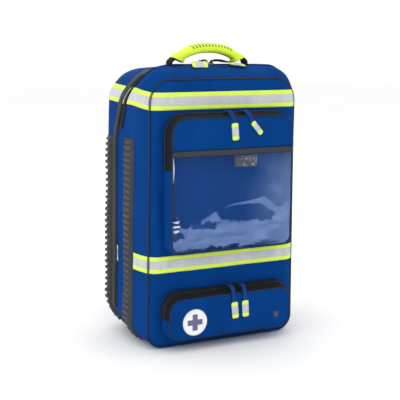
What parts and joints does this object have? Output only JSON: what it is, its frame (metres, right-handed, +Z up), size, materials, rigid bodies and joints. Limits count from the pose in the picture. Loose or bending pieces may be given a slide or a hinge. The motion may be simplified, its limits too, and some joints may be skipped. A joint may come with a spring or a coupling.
{
  "type": "trauma backpack",
  "caption": "Tall boxy first responder backpack with ribbed skid rails, reflective bands, two front pockets, top grip and padded harness.",
  "frame": {"origin": "centre of the bag's footprint on the surface it stands on", "axes": "+Z up, the front panel with its pockets faces -Y and the harness faces +Y, +X to the right seen from the front"},
  "size_m": [0.4362, 0.3328, 0.7087],
  "materials": {
    "royal_fabric": "coated woven polyester, soft sheen",
    "dark_rubber": "moulded, matt",
    "black_tape": "woven zip tape and webbing",
    "black_plastic": "moulded acetal, satin",
    "reflective": "fluorescent yellow tape with a silver retroreflective stripe",
    "yellow_grip": "soft moulded grip, satin",
    "clear_vinyl": "clear flexible film, glossy",
    "mesh_pad": "spacer mesh over foam",
    "grey_patch": "hook and loop",
    "badge_white": "printed film, satin",
    "divider_foam": "brushed nylon over foam",
    "frame_sheet": "polyethylene sheet"
  },
  "bodies": {
    "main_body": {"main_shell": "royal_fabric", "front_piping": "dark_rubber", "front_skid_rail": "dark_rubber", "upper_band_front": "reflective", "lower_band_front": "reflective", "upper_band_left": "reflective", "upper_band_right": "reflective", "lower_band_left": "reflective", "lower_band_right": "reflective", "main_zip_tape": "black_tape", "hinge_strip": "dark_rubber", "upper_pocket_body": "royal_fabric", "upper_pocket_window": "clear_vinyl", "window_binding": "dark_rubber", "window_closure": "grey_patch", "upper_pocket_zip": "black_tape", "lower_pocket_body": "royal_fabric", "lower_pocket_zip": "black_tape", "divider_1": "divider_foam", "divider_2": "divider_foam", "handle_loop_left": "black_tape", "handle_loop_right": "black_tape"},
    "rear_body": {"rear_shell": "royal_fabric", "main_zip_cover_left": "dark_rubber", "main_zip_cover_right": "dark_rubber", "rear_skid_rail": "dark_rubber", "upper_band_rear_left": "reflective", "upper_band_rear_right": "reflective", "back_stiffener": "frame_sheet", "back_pad_left": "mesh_pad", "back_pad_right": "mesh_pad", "lumbar_pad": "mesh_pad", "strap_webbing_left": "black_tape", "strap_webbing_right": "black_tape"},
    "handle": {"handle_grip": "yellow_grip"},
    "upper_flap": {"upper_pocket_flap": "royal_fabric"},
    "lower_cover": {"lower_pocket_cover": "royal_fabric", "emblem_badge": "badge_white", "label_patch": "grey_patch"},
    "strap_left": {"shoulder_strap_left": "mesh_pad", "ladder_lock_left": "black_plastic", "sternum_webbing_left": "black_tape", "buckle_female": "black_plastic"},
    "strap_right": {"shoulder_strap_right": "mesh_pad", "ladder_lock_right": "black_plastic", "sternum_webbing_right": "black_tape"},
    "buckle_male_body": {"buckle_male": "black_plastic"},
    "main_slider_left_body": {"main_slider_left": "black_plastic"},
    "main_pull_left_body": {"main_pull_left": "reflective"},
    "main_slider_right_body": {"main_slider_right": "black_plastic"},
    "main_pull_right_body": {"main_pull_right": "reflective"},
    "upper_slider_left_body": {"upper_slider_left": "black_plastic"},
    "upper_pull_left_body": {"upper_pull_left": "reflective"},
    "upper_slider_right_body": {"upper_slider_right": "black_plastic"},
    "upper_pull_right_body": {"upper_pull_right": "reflective"},
    "lower_slider_left_body": {"lower_slider_left": "black_plastic"},
    "lower_pull_left_body": {"lower_pull_left": "reflective"},
    "lower_slider_right_body": {"lower_slider_right": "black_plastic"},
    "lower_pull_right_body": {"lower_pull_right": "reflective"}
  },
  "joints": [
    {"name": "rear_half_open", "type": "hinge", "parent": "main_body", "child": "rear_body", "pos_m": [0.209, 0.04175, 0.3], "axis": [0, 0, -1], "range_deg": [0, 120], "deforming": ["hinge_strip"]},
    {"name": "handle_fold", "type": "hinge", "parent": "main_body", "child": "handle", "pos_m": [0, -0.03325, 0.67], "axis": [1, 0, 0], "range_deg": [-25, 12], "deforming": ["handle_loop_left", "handle_loop_right"]},
    {"name": "upper_flap_open", "type": "hinge", "parent": "main_body", "child": "upper_flap", "pos_m": [0, -0.16325, 0.4735], "axis": [1, 0, 0], "range_deg": [0, 90]},
    {"name": "lower_cover_open", "type": "hinge", "parent": "main_body", "child": "lower_cover", "pos_m": [0, -0.15265, 0.0293], "axis": [1, 0, 0], "range_deg": [0, 60]},
    {"name": "main_zip_left", "type": "slide", "parent": "main_body", "child": "main_slider_left_body", "axis": [-1, 0, 0], "range_m": [0, 0.025]},
    {"name": "main_pull_left_swing", "type": "hinge", "parent": "main_slider_left_body", "child": "main_pull_left_body", "pos_m": [-0.013, -0.01225, 0.6661], "axis": [-1, 0, 0], "range_deg": [0, 8]},
    {"name": "main_zip_right", "type": "slide", "parent": "main_body", "child": "main_slider_right_body", "axis": [1, 0, 0], "range_m": [0, 0.015]},
    {"name": "main_pull_right_swing", "type": "hinge", "parent": "main_slider_right_body", "child": "main_pull_right_body", "pos_m": [0.017, -0.01225, 0.6661], "axis": [-1, 0, 0], "range_deg": [0, 8]},
    {"name": "upper_zip_left", "type": "slide", "parent": "upper_flap", "child": "upper_slider_left_body", "axis": [-1, 0, 0], "range_m": [0, 0.098]},
    {"name": "upper_pull_left_swing", "type": "hinge", "parent": "upper_slider_left_body", "child": "upper_pull_left_body", "pos_m": [-0.014, -0.14425, 0.5586], "axis": [-1, 0, 0], "range_deg": [0, 110]},
    {"name": "upper_zip_right", "type": "slide", "parent": "upper_flap", "child": "upper_slider_right_body", "axis": [1, 0, 0], "range_m": [0, 0.085]},
    {"name": "upper_pull_right_swing", "type": "hinge", "parent": "upper_slider_right_body", "child": "upper_pull_right_body", "pos_m": [0.028, -0.14425, 0.5586], "axis": [-1, 0, 0], "range_deg": [0, 110]},
    {"name": "lower_zip_left", "type": "slide", "parent": "lower_cover", "child": "lower_slider_left_body", "axis": [-1, 0, 0], "range_m": [0, 0.105]},
    {"name": "lower_pull_left_swing", "type": "hinge", "parent": "lower_slider_left_body", "child": "lower_pull_left_body", "pos_m": [-0.002, -0.14125, 0.1461], "axis": [-1, 0, 0], "range_deg": [0, 110]},
    {"name": "lower_zip_right", "type": "slide", "parent": "lower_cover", "child": "lower_slider_right_body", "axis": [1, 0, 0], "range_m": [0, 0.095]},
    {"name": "lower_pull_right_swing", "type": "hinge", "parent": "lower_slider_right_body", "child": "lower_pull_right_body", "pos_m": [0.03, -0.14125, 0.1461], "axis": [-1, 0, 0], "range_deg": [0, 110]},
    {"name": "strap_left_swing", "type": "hinge", "parent": "rear_body", "child": "strap_left", "pos_m": [-0.069, 0.12515, 0.578], "axis": [1, 0, 0], "range_deg": [0, 12], "deforming": ["strap_webbing_left"]},
    {"name": "strap_right_swing", "type": "hinge", "parent": "rear_body", "child": "strap_right", "pos_m": [0.069, 0.12515, 0.578], "axis": [1, 0, 0], "range_deg": [0, 12], "deforming": ["strap_webbing_right"]},
    {"name": "sternum_buckle", "type": "slide", "parent": "strap_right", "child": "buckle_male_body", "axis": [1, 0, 0], "range_m": [0, 0.022], "deforming": ["sternum_webbing_right"]}
  ],
  "couplings": [
    {"joint": "strap_right_swing", "follows": "strap_left_swing", "ratio": 1}
  ]
}
